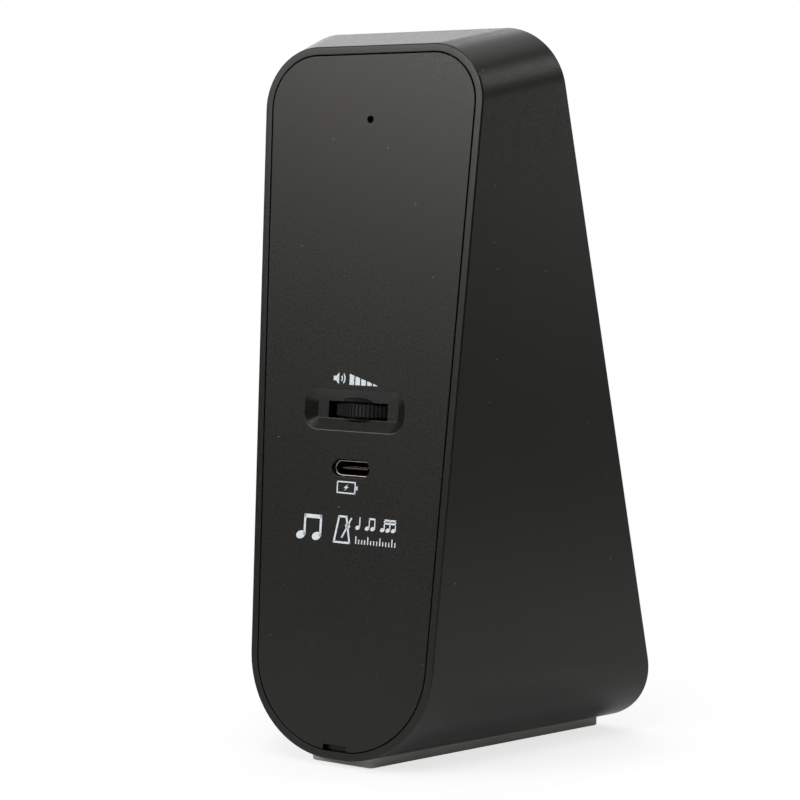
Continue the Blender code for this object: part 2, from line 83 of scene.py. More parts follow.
# The rear panel's holes. The socket has round ends, whose centres lie at plus and minus USB_SPACING.
PINHOLE_Z = 131.4
PINHOLE_R = 0.75
USB_Z = 58.85
USB_SPACING = 2.84
USB_SHELL_R = 1.63
USB_HOLE_R = 1.8
USB_CONTACT_PITCH = 0.5
NOTCH_HALF = 2.95
NOTCH_TOP_Z = 1.25
NOTCH_HALF_HEIGHT = 1.75
NOTCH_CORNER = 0.3
NOTCH_DEPTH = 1.5

# The thumb recess and its wheel. Mouth and floor are (half width, half height, corner radius). Each scoop is
# an ellipsoid: its middle, counted from the middle of the mouth, and its half sizes.
VOLUME_Z = 70.9
RECESS_MOUTH = (12.4, 4.35, 3.4)
RECESS_FLOOR = (9.95, 1.9, 0.6)
RECESS_DEPTH = 1.6
RECESS_LIP = 0.16
RECESS_FILLET = 0.04
WINDOW_HALF = 7.35
RECESS_BACKING = (14.5, 6.6, 3.3)
SCOOPS = (
    (Vector((0.0, 1.6, 1.75)), Vector((3.7, 0.85, 1.2))),
    (Vector((0.0, -0.8, -1.75)), Vector((6.0, 3.0, 0.97))),
)
WHEEL_R = 9.8
WHEEL_THICK = 2.95
WHEEL_AXIS_Y = 10.8
WHEEL_RIBS = 70
WHEEL_RIB_DEPTH = 0.26
WHEEL_BORE_R = 1.3

# The front. Each button and each post is given by its place (x, z).
KNOB_Z = 67.0
KNOB_R = 15.5
KNOB_TOP_Y = -9.5
KNOB_RIBS = 72
KNOB_RIB_DEPTH = 0.35
KNOB_CROWN_R = 14.0
KNOB_CROWN_EDGE = 0.9
KNOB_HOLE_R = 4.0
BUTTON_R = 5.0
BUTTONS = {"beat": (-25.0, 77.0), "sound": (-25.0, 57.0), "tap": (25.0, 77.0), "play": (25.0, 57.0)}
SPEAKER_Z = 25.0
SLOT_PITCH = 4.2
SLOT_R = 0.95
SLOT_REACH = 15.0
POSTS = ((-24, 86), (24, 86), (-12, 51.5), (12, 51.5))
POST_R = 2.5
POST_BACK = 11.7
DIGIT_Y = 3.38
DIGIT_Z = 106.0
DIGIT_PITCH = 11.8
BUTTON_TOP_Y = -1.2

# How far printed ink stands out.
INK = 0.02

REAR = Matrix.Translation(REAR_ORIGIN * MM) @ Euler((-REAR_LEAN, 0.0, math.pi)).to_matrix().to_4x4()
FRONT = Matrix.Translation(FRONT_ORIGIN * MM) @ Euler((-FRONT_LEAN, 0.0, 0.0)).to_matrix().to_4x4()
WORLD = Matrix.Identity(4)


# Mesh helpers

def add_body(bm, loops, closed):
    """Adds one body: a skin over successive loops, capped at both ends or closed on itself."""
    rings = [[bm.verts.new(Vector(point) * MM) for point in loop] for loop in loops]
    pairs = list(zip(rings, rings[1:]))
    if closed:
        pairs.append((rings[-1], rings[0]))
    for first, second in pairs:
        count = len(first)
        for i in range(count):
            j = (i + 1) % count
            bm.faces.new((first[i], first[j], second[j], second[i]))
    if not closed:
        bm.faces.new(rings[0])
        bm.faces.new(rings[-1])


def add_object(name, bodies, matrix):
    """Adds an object made of (loops, closed) bodies, which are given in the frame of the matrix."""
    bm = bmesh.new()
    for loops, closed in bodies:
        add_body(bm, loops, closed)
    bmesh.ops.recalc_face_normals(bm, faces=bm.faces)
    mesh = bpy.data.meshes.new(name)
    bm.to_mesh(mesh)
    bm.free()
    item = bpy.data.objects.new(name, mesh)
    item.matrix_world = matrix
    bpy.context.scene.collection.objects.link(item)
    return item


def mark_edges(mesh, sharp):
    """Smooth shading, with edges over an angle in degrees kept sharp."""
    mesh.shade_smooth()
    mesh.set_sharp_from_angle(angle=math.radians(sharp))


def make_piece(name, bodies, matrix, finish, sharp=35.0):
    """Makes a piece with one finish."""
    item = add_object(name, bodies, matrix)
    item.data.materials.append(finish)
    mark_edges(item.data, sharp)
    return item


def apply_modifiers(item):
    """Gives an object the mesh that its modifiers make of it."""
    bpy.context.view_layer.update()
    graph = bpy.context.evaluated_depsgraph_get()
    mesh = bpy.data.meshes.new_from_object(item.evaluated_get(graph))
    item.modifiers.clear()
    item.data = mesh


def finish_piece(item, sharp=35.0):
    """Marks a cut piece's sharp edges and weights its normals by face area."""
    apply_modifiers(item)
    mark_edges(item.data, sharp)
    weight = item.modifiers.new("weight", "WEIGHTED_NORMAL")
    weight.keep_sharp = True
    weight.weight = 100


def combine(target, bodies, operation, matrix):
    """Cuts bodies from the target, or joins them to it, and removes the tool."""
    tool = add_object("tool", bodies, matrix)
    change = target.modifiers.new("change", "BOOLEAN")
    change.operation = operation
    change.object = tool
    apply_modifiers(target)
    bpy.data.objects.remove(tool)


def stand_for(item, body, slot, *nodes):
    """Says which body a piece rides on, and the CAD nodes that it replaces. The slot argument is not used."""
    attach(item, body)
    if nodes:
        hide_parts(*nodes)


# Outlines

def rounded_taper(outline, grow, steps=CORNER_STEPS):
    """Points (x, z) round a symmetric tapered outline, grown by a margin, whose corners are arcs."""
    (x1, r1, z1), (x2, r2, z2) = outline
    across, up = x1 - x2, z1 - z2
    side = math.atan2(up, across) - math.acos((r2 - r1) / math.hypot(across, up))
    right = []
    for x, r, z, start, end in (
        (x1, r1, z1, math.pi / 2, side),
        (x2, r2, z2, side, -math.pi / 2),
    ):
        for i in range(steps + 1):
            angle = start + (end - start) * i / steps
            right.append((x + (r + grow) * math.cos(angle), z + (r + grow) * math.sin(angle)))
    return right + [(-x, z) for x, z in reversed(right)]


def stadium(spacing, radius, steps=16):
    """Points round a slot with half circles for ends, whose centres lie at plus and minus spacing."""
    right = []
    for i in range(steps + 1):
        angle = math.pi / 2 - math.pi * i / steps
        right.append((spacing + radius * math.cos(angle), radius * math.sin(angle)))
    return right + [(-x, z) for x, z in reversed(right)]


def rounded_box(half_x, half_z, radius, steps=4):
    """Points round a rectangle with rounded corners."""
    points = []
    for side, top, start in ((1, 1, 0), (-1, 1, 90), (-1, -1, 180), (1, -1, 270)):
        for i in range(steps + 1):
            angle = math.radians(start + 90 * i / steps)
            x = side * (half_x - radius) + radius * math.cos(angle)
            z = top * (half_z - radius) + radius * math.sin(angle)
            points.append((x, z))
    return points


def rectangle(x0, x1, z0, z1):
    return [(x0, z0), (x1, z0), (x1, z1), (x0, z1)]


def circle(radius, sides):
    turn = 2 * math.pi / sides
    return [(radius * math.cos(turn * i), radius * math.sin(turn * i)) for i in range(sides)]


def ribbed(radius, depth, ribs):
    """Points round a circle with flat-topped ribs, four to a rib."""
    points = []
    pitch = 2 * math.pi / ribs
    for i in range(ribs):
        for share, fall in ((0.0, depth), (0.16, depth), (0.38, 0.0), (0.78, 0.0)):
            angle = pitch * (i + share)
            points.append(((radius - fall) * math.cos(angle), (radius - fall) * math.sin(angle)))
    return points


def at_depth(outline, y, x0=0.0, z0=0.0):
    return [(x0 + x, y, z0 + z) for x, z in outline]


def prism(outline, y0, y1, x0=0.0, z0=0.0):
    return [at_depth(outline, y0, x0, z0), at_depth(outline, y1, x0, z0)], False


def box(x0, x1, y0, y1, z0, z1):
    return prism(rectangle(x0, x1, z0, z1), y0, y1)


def turned(profile, x0, z0):
    """A body turned about the y direction from (radius, depth) rows."""
    return [at_depth(circle(radius, 64), y, x0, z0) for radius, y in profile], False


def quarter(steps=4):
    """(share across, share deep) round a quarter circle, from flat face to wall."""
    turns = [math.pi / 2 * i / steps for i in range(steps + 1)]
    return [(1.0 - math.sin(t), 1.0 - math.cos(t)) for t in turns]


def slab(outline_at, y0, y1, edge):
    """A plate from y0, its outer face with rounded edges, to y1.

    outline_at gives the outline grown by a margin.
    """
    loops = []
    for across, deep in quarter():
        loops.append(at_depth(outline_at(-edge * across), y0 + edge * deep))
    loops.append(at_depth(outline_at(0.0), y1))
    return loops, False


def lipped_cut(outline_at, depth, lip, x0=0.0, z0=0.0):
    """A cutter whose mouth is rounded over: it flares by lip at the surface y = 0."""
    loops = [at_depth(outline_at(lip), -1.0, x0, z0)]
    for across, deep in quarter():
        loops.append(at_depth(outline_at(lip * across), lip * deep, x0, z0))
    loops.append(at_depth(outline_at(0.0), depth, x0, z0))
    return loops, False


# The straight wall between both outlines. A rear outline is mirrored, so that both run the same way round.

def rear_point(x, y, z):
    return REAR_ORIGIN + REAR.to_3x3() @ Vector((-x, y, z))


def front_point(x, y, z):
    return FRONT_ORIGIN + FRONT.to_3x3() @ Vector((x, y, z))


def wall_loop(grow, depth, rear=True):
    """Loop in which the wall, grown by a margin, meets a plane at a depth behind one of the faces."""
    starts = [rear_point(x, 0.0, z) for x, z in rounded_taper(REAR_OUTLINE, grow)]
    ends = [front_point(x, 0.0, z) for x, z in rounded_taper(FRONT_OUTLINE, grow)]
    if rear:
        inward = REAR.to_3x3() @ Vector((0.0, 1.0, 0.0))
        return [a + (b - a) * (depth / (b - a).dot(inward)) for a, b in zip(starts, ends)]
    inward = FRONT.to_3x3() @ Vector((0.0, 1.0, 0.0))
    return [b + (a - b) * (depth / (a - b).dot(inward)) for a, b in zip(starts, ends)]


def flat_loop(grow, depth, rear=True):
    """The rear or the front outline, grown by a margin, moved straight in to a depth."""
    outline = rounded_taper(REAR_OUTLINE if rear else FRONT_OUTLINE, grow)
    place = rear_point if rear else front_point
    return [place(x, depth, z) for x, z in outline]


# Materials. Distances in textures and bumps are in metres.

# The tint of the reflections on mouldings, a little warmer than the light.
WARM_GLOSS = (1.0, 0.988, 0.95, 1.0)
DUST = (0.16, 0.16, 0.15)
DUST_CELLS = 230.0
DUST_SIZE = 0.029


def start_material(name, colour, roughness, metallic=0.0, specular=0.5):
    """A plain material, its node tree and its shader."""
    item = bpy.data.materials.new(name)
    item.use_nodes = True
    shader = item.node_tree.nodes["Principled BSDF"]
    shader.inputs["Base Color"].default_value = (*colour, 1.0)
    shader.inputs["Roughness"].default_value = roughness
    shader.inputs["Metallic"].default_value = metallic
    shader.inputs["Specular IOR Level"].default_value = specular
    return item, item.node_tree, shader


def node(tree, kind, **values):
    """Adds a node, with values for its inputs or its settings."""
    item = tree.nodes.new(kind)
    for name, value in values.items():
        if name in item.inputs:
            item.inputs[name].default_value = value
        else:
            setattr(item, name, value)
    return item


def noise(tree, scale, detail=2.0, stretch=None):
    """Noise over the piece's own coordinates, in metres."""
    places = tree.nodes.new("ShaderNodeTexCoord")
    texture = node(tree, "ShaderNodeTexNoise", Scale=scale, Detail=detail, Roughness=0.55)
    if stretch:
        mapping = node(tree, "ShaderNodeMapping", Scale=stretch)
        tree.links.new(places.outputs["Object"], mapping.inputs["Vector"])
        tree.links.new(mapping.outputs["Vector"], texture.inputs["Vector"])
    else:
        tree.links.new(places.outputs["Object"], texture.inputs["Vector"])
    return texture.outputs["Fac"]


def ramp(tree, source, low, high, start=0.3, end=0.7):
    """Colour that goes from low to high where a value goes from start to end."""
    item = tree.nodes.new("ShaderNodeValToRGB")
    item.color_ramp.elements[0].position = start
    item.color_ramp.elements[1].position = end
    item.color_ramp.elements[0].color = (*low, 1.0)
    item.color_ramp.elements[1].color = (*high, 1.0)
    tree.links.new(source, item.inputs["Fac"])
    return item.outputs["Color"]


def spread(tree, source, low, high):
    """Value that goes from low to high over the middle range of a noise."""
    item = node(tree, "ShaderNodeMapRange")
    item.inputs["From Min"].default_value = 0.3
    item.inputs["From Max"].default_value = 0.7
    item.inputs["To Min"].default_value = low
    item.inputs["To Max"].default_value = high
    tree.links.new(source, item.inputs["Value"])
    return item.outputs["Result"]


def shade(colour, factor):
    return tuple(channel * factor for channel in colour)


def add_bump(tree, shader, height, strength, distance):
    item = node(tree, "ShaderNodeBump", Strength=strength, Distance=distance)
    tree.links.new(height, item.inputs["Height"])
    tree.links.new(item.outputs["Normal"], shader.inputs["Normal"])


def add_specks(tree, base):
    """Sparse specks of dust over a base colour."""
    places = tree.nodes.new("ShaderNodeTexCoord")
    cells = node(tree, "ShaderNodeTexVoronoi", Scale=DUST_CELLS)
    tree.links.new(places.outputs["Object"], cells.inputs["Vector"])
    near = node(tree, "ShaderNodeMath", operation="LESS_THAN")
    near.inputs[1].default_value = DUST_SIZE
    tree.links.new(cells.outputs["Distance"], near.inputs[0])
    mix = node(tree, "ShaderNodeMix", data_type="RGBA")
    mix.inputs[7].default_value = (*DUST, 1.0)
    tree.links.new(near.outputs[0], mix.inputs[0])
    tree.links.new(base, mix.inputs[6])
    return mix.outputs[2]


def moulded(name, colour, roughness, grain=1900.0, bump=0.25, specular=0.27, dusty=False, depth=0.00003):
    """Moulded plastic or rubber: spark-eroded grain, slow changes of colour and gloss, perhaps dust."""
    item, tree, shader = start_material(name, colour, roughness, specular=specular)
    shader.inputs["Specular Tint"].default_value = WARM_GLOSS
    slow = noise(tree, 45.0, 3.0)
    fine = noise(tree, grain, 2.0)
    base = ramp(tree, slow, shade(colour, 0.9), shade(colour, 1.12))
    if dusty:
        base = add_specks(tree, base)
    tree.links.new(base, shader.inputs["Base Color"])
    gloss = spread(tree, fine, roughness - 0.05, roughness + 0.05)
    tree.links.new(gloss, shader.inputs["Roughness"])
    add_bump(tree, shader, fine, bump, depth)
    return item


def printed(name, colour):
    """Pad-printed ink, slightly uneven."""
    item, tree, shader = start_material(name, colour, 0.55)
    uneven = noise(tree, 1500.0, 3.0)
    base = ramp(tree, uneven, shade(colour, 0.82), shade(colour, 1.05))
    tree.links.new(base, shader.inputs["Base Color"])
    return item


def metal(name, colour, roughness, stretch=(1.0, 14.0, 14.0)):
    """Drawn or machined metal with fine streaks."""
    item, tree, shader = start_material(name, colour, roughness, metallic=1.0)
    streaks = noise(tree, 900.0, 3.0, stretch)
    tree.links.new(ramp(tree, streaks, shade(colour, 0.85), colour), shader.inputs["Base Color"])
    gloss = spread(tree, streaks, roughness - 0.06, roughness + 0.08)
    tree.links.new(gloss, shader.inputs["Roughness"])
    add_bump(tree, shader, streaks, 0.1, 0.00002)
    return item


def woven(name, colour, scale):
    """Fine woven mesh: two crossed waves raise the threads."""
    item, tree, shader = start_material(name, colour, 0.85)
    places = tree.nodes.new("ShaderNodeTexCoord")
    heights = []
    for direction in ("X", "Z"):
        wave = node(tree, "ShaderNodeTexWave", Scale=scale, bands_direction=direction)
        tree.links.new(places.outputs["Object"], wave.inputs["Vector"])
        heights.append(wave.outputs["Fac"])
    both = node(tree, "ShaderNodeMath", operation="MULTIPLY")
    tree.links.new(heights[0], both.inputs[0])
    tree.links.new(heights[1], both.inputs[1])
    base = ramp(tree, both.outputs[0], shade(colour, 0.3), shade(colour, 2.2), 0.05, 0.8)
    tree.links.new(base, shader.inputs["Base Color"])
    add_bump(tree, shader, both.outputs[0], 0.6, 0.00015)
    return item


def smoked(name):
    """Polished smoked acrylic that lets a little of the display through."""
    item, tree, shader = start_material(name, (0.012, 0.012, 0.014), 0.06)
    shader.inputs["Alpha"].default_value = 0.62
    slow = noise(tree, 30.0, 2.0)
    tint = ramp(tree, slow, (0.011, 0.011, 0.013), (0.014, 0.014, 0.016))
    tree.links.new(tint, shader.inputs["Base Color"])
    return item


def make_materials():
    black = (0.0068, 0.0065, 0.0058)
    wheel_black = (0.011, 0.0108, 0.0104)
    return {
        "casing": moulded("casing_black", black, 0.36, dusty=True),
        "panel": moulded("panel_black", shade(black, 0.97), 0.37, grain=1700.0, bump=0.32, dusty=True),
        "wheel": moulded("wheel_black", wheel_black, 0.38, grain=1200.0, bump=0.15, specular=0.21),
        "pad": moulded("pad_grey", (0.29, 0.295, 0.265), 0.62, grain=900.0, bump=0.35, specular=0.35),
        "fascia": moulded("fascia_black", (0.012, 0.012, 0.0125), 0.24, grain=2400.0, bump=0.05),
        "knob": moulded("knob_black", (0.018, 0.018, 0.018), 0.4, grain=1500.0, bump=0.2),
        "key": moulded("key_grey", (0.036, 0.036, 0.038), 0.55, grain=1100.0, bump=0.25),
        "component": moulded("component_black", (0.022, 0.022, 0.022), 0.5),
        "board": moulded("board_green", (0.02, 0.10, 0.045), 0.35, grain=500.0, bump=0.1),
        "cell": moulded("cell_blue", (0.06, 0.14, 0.34), 0.35, grain=300.0, bump=0.2),
        "red": moulded("lead_red", (0.45, 0.03, 0.02), 0.45, grain=800.0),
        "black": moulded("lead_black", (0.02, 0.02, 0.02), 0.45, grain=800.0),
        "paper": moulded("cone_paper", (0.025, 0.024, 0.022), 0.85, grain=700.0, bump=0.5),
        "foam": moulded("foam_grey", (0.05, 0.05, 0.05), 0.9, grain=600.0, bump=0.8, depth=0.0001),
        "guide": moulded("light_guide_white", (0.62, 0.62, 0.60), 0.4, grain=700.0, bump=0.1),
        "digit_face": moulded("digit_face_black", (0.012, 0.012, 0.013), 0.45),
        "segment": moulded("segment_milky", (0.55, 0.55, 0.52), 0.5, grain=900.0, bump=0.05),
        "steel": metal("socket_steel", (0.58, 0.52, 0.48), 0.42),
        "tongue": moulded("tongue_grey", (0.09, 0.09, 0.092), 0.45, grain=900.0, bump=0.1),
        # Near black, painted on the socket's inside: painted shade in the bore, where the real part is steel.
        "socket_painted_shade": moulded("socket_painted_shade", (0.006, 0.006, 0.006), 0.6, grain=900.0),
        "plain_steel": metal("plain_steel", (0.6, 0.6, 0.6), 0.32),
        "painted": moulded("painted_steel", (0.03, 0.03, 0.03), 0.45, grain=400.0),
        "gold": metal("contact_gold", (0.83, 0.62, 0.28), 0.25),
        "cloth": woven("grille_cloth_black", (0.016, 0.016, 0.016), 330.0),
        "lens": smoked("smoked_lens"),
        "ink": printed("ink_pale", (0.60, 0.645, 0.68)),
        "front_ink": printed("ink_soft", (0.42, 0.43, 0.44)),
    }


# Casing

def make_shell(looks):
    """The wrap-round casing: rims at both faces, straight wall, hollow inside, ledges for the panels."""
    rear_seat = REAR_PANEL_DEPTH + GAP
    front_seat = FRONT_PANEL_DEPTH + GAP
    inner = -RIM - LEDGE
    loops = []
    for across, deep in reversed(quarter(3)):
        loops.append(flat_loop(-RIM + SEAM_EDGE * across, SEAM_EDGE * deep))
    for across, deep in quarter():
        loops.append(wall_loop(-REAR_EDGE * across, REAR_EDGE * deep))
    for across, deep in reversed(quarter()):
        loops.append(wall_loop(-FRONT_EDGE * across, FRONT_EDGE * deep, rear=False))
    for across, deep in quarter(3):
        loops.append(flat_loop(-RIM + SEAM_EDGE * across, SEAM_EDGE * deep, rear=False))
    loops.append(flat_loop(-RIM, front_seat, rear=False))
    loops.append(flat_loop(inner, front_seat, rear=False))
    loops.append(flat_loop(inner, front_seat + LEDGE, rear=False))
    loops.append(wall_loop(-WALL, rear_seat + LEDGE))
    loops.append(flat_loop(inner, rear_seat + LEDGE))
    loops.append(flat_loop(inner, rear_seat))
    loops.append(flat_loop(-RIM, rear_seat))
    shell = make_piece("shell_skin", [(loops, True)], WORLD, looks["casing"])
    low, high = (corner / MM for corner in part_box("base_pad"))
    pocket = [pad_loop(GAP, z, 0.0) for z in (low.z - 1.0, high.z + GAP)]
    combine(shell, [(pocket, False)], "DIFFERENCE", WORLD)
    finish_piece(shell, 28.0)
    stand_for(shell, "casing", "casing_plastic", "shell")


def pad_loop(grow, z, corner):
    """The pad's trapezoid, grown by a margin, at a height. Rounding starts a distance before each corner."""
    low, high = (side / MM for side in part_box("base_pad"))
    corners = [
        Vector((PAD_REAR_HALF + grow, high.y + grow)),
        Vector((high.x + grow, low.y - grow)),
        Vector((low.x - grow, low.y - grow)),
        Vector((-PAD_REAR_HALF - grow, high.y + grow)),
    ]
    outline = []
    for i, point in enumerate(corners):
        before = (corners[i - 1] - point).normalized()
        after = (corners[(i + 1) % 4] - point).normalized()
        for k in range(6 if corner else 1):
            t = k / 5
            a, b = point + before * corner, point + after * corner
            outline.append(a * (1 - t) ** 2 + point * 2 * t * (1 - t) + b * t ** 2)
    return [(p.x, p.y, z) for p in outline]


def make_pad(looks):
    """The base pad, with a rounded lower edge."""
    low, high = (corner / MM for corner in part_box("base_pad"))
    loops = []
    for across, deep in quarter():
        loops.append(pad_loop(-PAD_EDGE * across, low.z + PAD_EDGE * deep, PAD_CORNER))
    loops.append(pad_loop(0.0, high.z, PAD_CORNER))
    pad = make_piece("base_pad_skin", [(loops, False)], WORLD, looks["pad"])
    finish_piece(pad)
    stand_for(pad, "casing", "pad_rubber", "base_pad")


def make_rear_panel(looks):
    """The rear panel, with a backing behind the thumb recess and two walls beside the socket."""
    def outline(grow):
        return rounded_taper(REAR_OUTLINE, -RIM - SEAM_GAP + grow)

    plate = slab(outline, 0.0, REAR_PANEL_DEPTH, SEAM_EDGE)
    panel = make_piece("rear_panel_skin", [plate], REAR, looks["panel"])
    back = REAR_PANEL_DEPTH - 0.1
    half_x, half_z, depth = RECESS_BACKING
    ribs = [box(-half_x, half_x, back, depth, VOLUME_Z - half_z, VOLUME_Z + half_z)]
    for x in (-13.3, 11.3):
        ribs.append(box(x, x + 2.0, back, 14.0, USB_Z - 6.0, USB_Z + 0.5))
    combine(panel, ribs, "UNION", REAR)
    combine(panel, [recess_shape()], "DIFFERENCE", REAR)
    half = WHEEL_THICK / 2 + GAP
    notch = rounded_box(NOTCH_HALF, NOTCH_HALF_HEIGHT, NOTCH_CORNER)
    openings = [
        box(-WINDOW_HALF, WINDOW_HALF, 1.0, 5.0, VOLUME_Z - half, VOLUME_Z + half),
        lipped_cut(lambda grow: stadium(USB_SPACING, USB_HOLE_R + grow), 5.0, 0.12, z0=USB_Z),
        lipped_cut(lambda grow: circle(PINHOLE_R + grow, 32), 5.0, 0.1, z0=PINHOLE_Z),
        prism(notch, -1.0, NOTCH_DEPTH, z0=NOTCH_TOP_Z - NOTCH_HALF_HEIGHT),
    ]
    combine(panel, openings, "DIFFERENCE", REAR)
    combine(panel, [scoop_shape(*scoop) for scoop in SCOOPS], "DIFFERENCE", REAR)
    finish_piece(panel)
    stand_for(panel, "casing", "casing_plastic", "rear_panel")


def recess_shape():
    """The thumb recess round the volume wheel: rounded lip, sloping sides, small fillet, flat floor.

    Each row gives how far its outline lies inside the mouth, and its depth.
    """
    fall = RECESS_MOUTH[1] - RECESS_FLOOR[1]
    foot = Vector((fall, RECESS_DEPTH))
    slope = foot.normalized()
    lip_end = slope * RECESS_LIP
    fillet_start = foot - slope * RECESS_FILLET
    fillet_end = Vector((fall + RECESS_FILLET, RECESS_DEPTH))
    rows = [(-RECESS_LIP, -1.0)]
    for i in range(7):
        t = i / 6
        rows.append((-RECESS_LIP * (1 - t) ** 2 + lip_end.x * t ** 2, lip_end.y * t ** 2))
    for i in range(4):
        t = i / 3
        rows.append(tuple(fillet_start * (1 - t) ** 2 + foot * 2 * t * (1 - t) + fillet_end * t ** 2))
    loops = []
    for inset, y in rows:
        share = min(max(inset / fall, 0.0), 1.0)
        radius = RECESS_MOUTH[2] * (1 - share) + RECESS_FLOOR[2] * share - min(inset, 0.0)
        outline = rounded_box(RECESS_MOUTH[0] - inset, RECESS_MOUTH[1] - inset, radius, 12)
        loops.append(at_depth(outline, y, z0=VOLUME_Z))
    return loops, False


def scoop_shape(middle, size):
    """The ellipsoid that cuts a finger scoop into the recess slope above or below the wheel."""
    loops = []
    for i in range(1, 16):
        turn = math.pi * i / 16
        across, along = size.x * math.cos(turn), math.sin(turn)
        loops.append([
            (across, middle.y + size.y * along * y, VOLUME_Z + middle.z + size.z * along * z)
            for y, z in circle(1.0, 32)
        ])
    return loops, False


def make_volume_wheel(looks):
    """The ribbed thumb wheel, with chamfered ribs, a dished side and a bore for its screw."""
    half = WHEEL_THICK / 2
    dish = half - 0.5
    loops = []
    for inset, z in ((0.35, -half), (0.0, -half + 0.3), (0.0, half - 0.3), (0.35, half)):
        ribs = ribbed(WHEEL_R - inset, WHEEL_RIB_DEPTH, WHEEL_RIBS)
        loops.append([(x, y, z) for x, y in ribs])
    side = ((7.6, half), (7.2, dish), (3.2, dish), (2.9, half), (WHEEL_BORE_R, half), (WHEEL_BORE_R, -half))
    for radius, z in side:
        loops.append([(x, y, z) for x, y in circle(radius, 4 * WHEEL_RIBS)])
    place = REAR @ Matrix.Translation(Vector((0.0, WHEEL_AXIS_Y, VOLUME_Z)) * MM)
    wheel = make_piece("volume_wheel_skin", [(loops, True)], place, looks["wheel"], 25.0)
    stand_for(wheel, "volume_dial", "knob_plastic", "volume_wheel")


def make_socket_shell(looks):
    """The socket's steel shell, its inside painted near black as painted shade, in rows from the bore's end
    round the rolled lip to the back.
    """
    rows = (
        (-0.3, 8.3), (-0.3, 1.6), (-0.22, 1.22), (-0.18, 1.12),
        (-0.1, 1.08), (-0.03, 1.12), (0.0, 1.26), (0.0, 8.8),
    )
    loops = [at_depth(stadium(USB_SPACING, USB_SHELL_R + grow), y, z0=USB_Z) for grow, y in rows]
    can = make_piece("usb_socket_skin", [(loops, False)], REAR, looks["steel"], 60.0)
    # Faces inside the bore get the near-black painted shade in place of steel.
    can.data.materials.append(looks["socket_painted_shade"])
    bore, lip_end = Vector((4.35, 1.5)) * MM, 1.35 * MM
    for face in can.data.polygons:
        x, y, z = face.center
        inside = y > lip_end and abs(x) < bore.x and abs(z - USB_Z * MM) < bore.y
        face.material_index = int(inside)
    stand_for(can, "casing", "steel", "usb_socket_shell")


def make_socket_tongue(looks):
    """The socket's tongue, thin at its tip, with two rows of contacts."""
    rows = ((3.05, 0.07, 1.8), (3.15, 0.14, 1.88), (3.2, 0.16, 3.0), (3.3, 0.35, 3.4), (3.3, 0.35, 8.0))
    loops = [at_depth(rounded_box(half, thick, 0.09), y, z0=USB_Z) for half, thick, y in rows]
    tongue = make_piece("usb_tongue_skin", [(loops, False)], REAR, looks["tongue"])
    stand_for(tongue, "casing", "component_plastic", "usb_socket_tongue")
    contacts = []
    for side in (-1, 1):
        for i in range(12):
            x = USB_CONTACT_PITCH * (i - 5.5)
            z = USB_Z + side * 0.36
            contacts.append(box(x - 0.13, x + 0.13, 3.5, 7.0, z - 0.02, z + 0.02))
    strip = make_piece("usb_contacts", contacts, REAR, looks["gold"])
    stand_for(strip, "casing", "steel")


# Printed marks: flat shapes that stand out by the thickness of the ink

def stroke(points, width, closed=False):
    """A line of even width along points, as one outline for each stretch."""
    half = width / 2
    quads = []
    count = len(points)
    for i in range(count if closed else count - 1):
        a, b = Vector(points[i]), Vector(points[(i + 1) % count])
        along = (b - a).normalized()
        side = Vector((-along.y, along.x)) * half
        tail = along * half * 0.6
        quads.append([a - side - tail, b - side + tail, b + side + tail, a + side - tail])
    return quads


def arc(x0, z0, radius, start, end, steps):
    """Points along an arc between two angles in degrees."""
    angles = [math.radians(start + (end - start) * i / steps) for i in range(steps + 1)]
    return [(x0 + radius * math.cos(a), z0 + radius * math.sin(a)) for a in angles]


def band(x0, z0, radius, width, start, end, steps=14):
    """A curved stripe of even width, as one outline."""
    outer = arc(x0, z0, radius + width / 2, start, end, steps)
    inner = arc(x0, z0, radius - width / 2, end, start, steps)
    return outer + inner


def ellipse(x0, z0, a, b, tilt):
    """Points round an ellipse with half axes a and b, tilted by an angle in degrees."""
    c, s = math.cos(math.radians(tilt)), math.sin(math.radians(tilt))
    points = circle(1.0, 24)
    return [(x0 + a * x * c - b * z * s, z0 + a * x * s + b * z * c) for x, z in points]


def speaker_mark(x0, z0, size):
    """A loudspeaker with two sound waves, in a square of the given height."""
    s = size / 2
    body = [
        (x0 - s, z0 - 0.32 * s), (x0 - 0.55 * s, z0 - 0.32 * s), (x0 - 0.05 * s, z0 - 0.85 * s),
        (x0 - 0.05 * s, z0 + 0.85 * s), (x0 - 0.55 * s, z0 + 0.32 * s), (x0 - s, z0 + 0.32 * s),
    ]
    waves = [band(x0 - 0.05 * s, z0, r * s, 0.2 * s, -42, 42) for r in (0.55, 1.0)]
    return [body] + waves


def ramp_mark(left, right, base, height, bars=5):
    """A falling volume ramp made of bars."""
    pitch = (right - left) / bars
    shapes = []
    for i in range(bars):
        x0 = left + pitch * i
        x1 = x0 + pitch * 0.78
        tops = [height * (right - x) / (right - left) for x in (x0, x1)]
        shapes.append([(x0, base), (x1, base), (x1, base + max(tops[1], 0.04)), (x0, base + tops[0])])
    return shapes


def battery_mark(x0, z0, width, height):
    """A battery with a bolt across it."""
    half_x, half_z = width / 2, height / 2
    corners = rectangle(x0 - half_x, x0 + half_x, z0 - half_z, z0 + half_z)
    shapes = stroke(corners, 0.28, closed=True)
    cap, cap_half = x0 + half_x + 0.25, 0.35 * half_z
    shapes.append(rectangle(cap, cap + 0.4, z0 - cap_half, z0 + cap_half))
    bolt = [(0.35, 0.62), (-0.55, -0.12), (-0.08, -0.12), (-0.35, -0.62), (0.55, 0.12), (0.08, 0.12)]
    shapes.append([(x0 + half_z * x, z0 + half_z * z) for x, z in bolt])
    return shapes


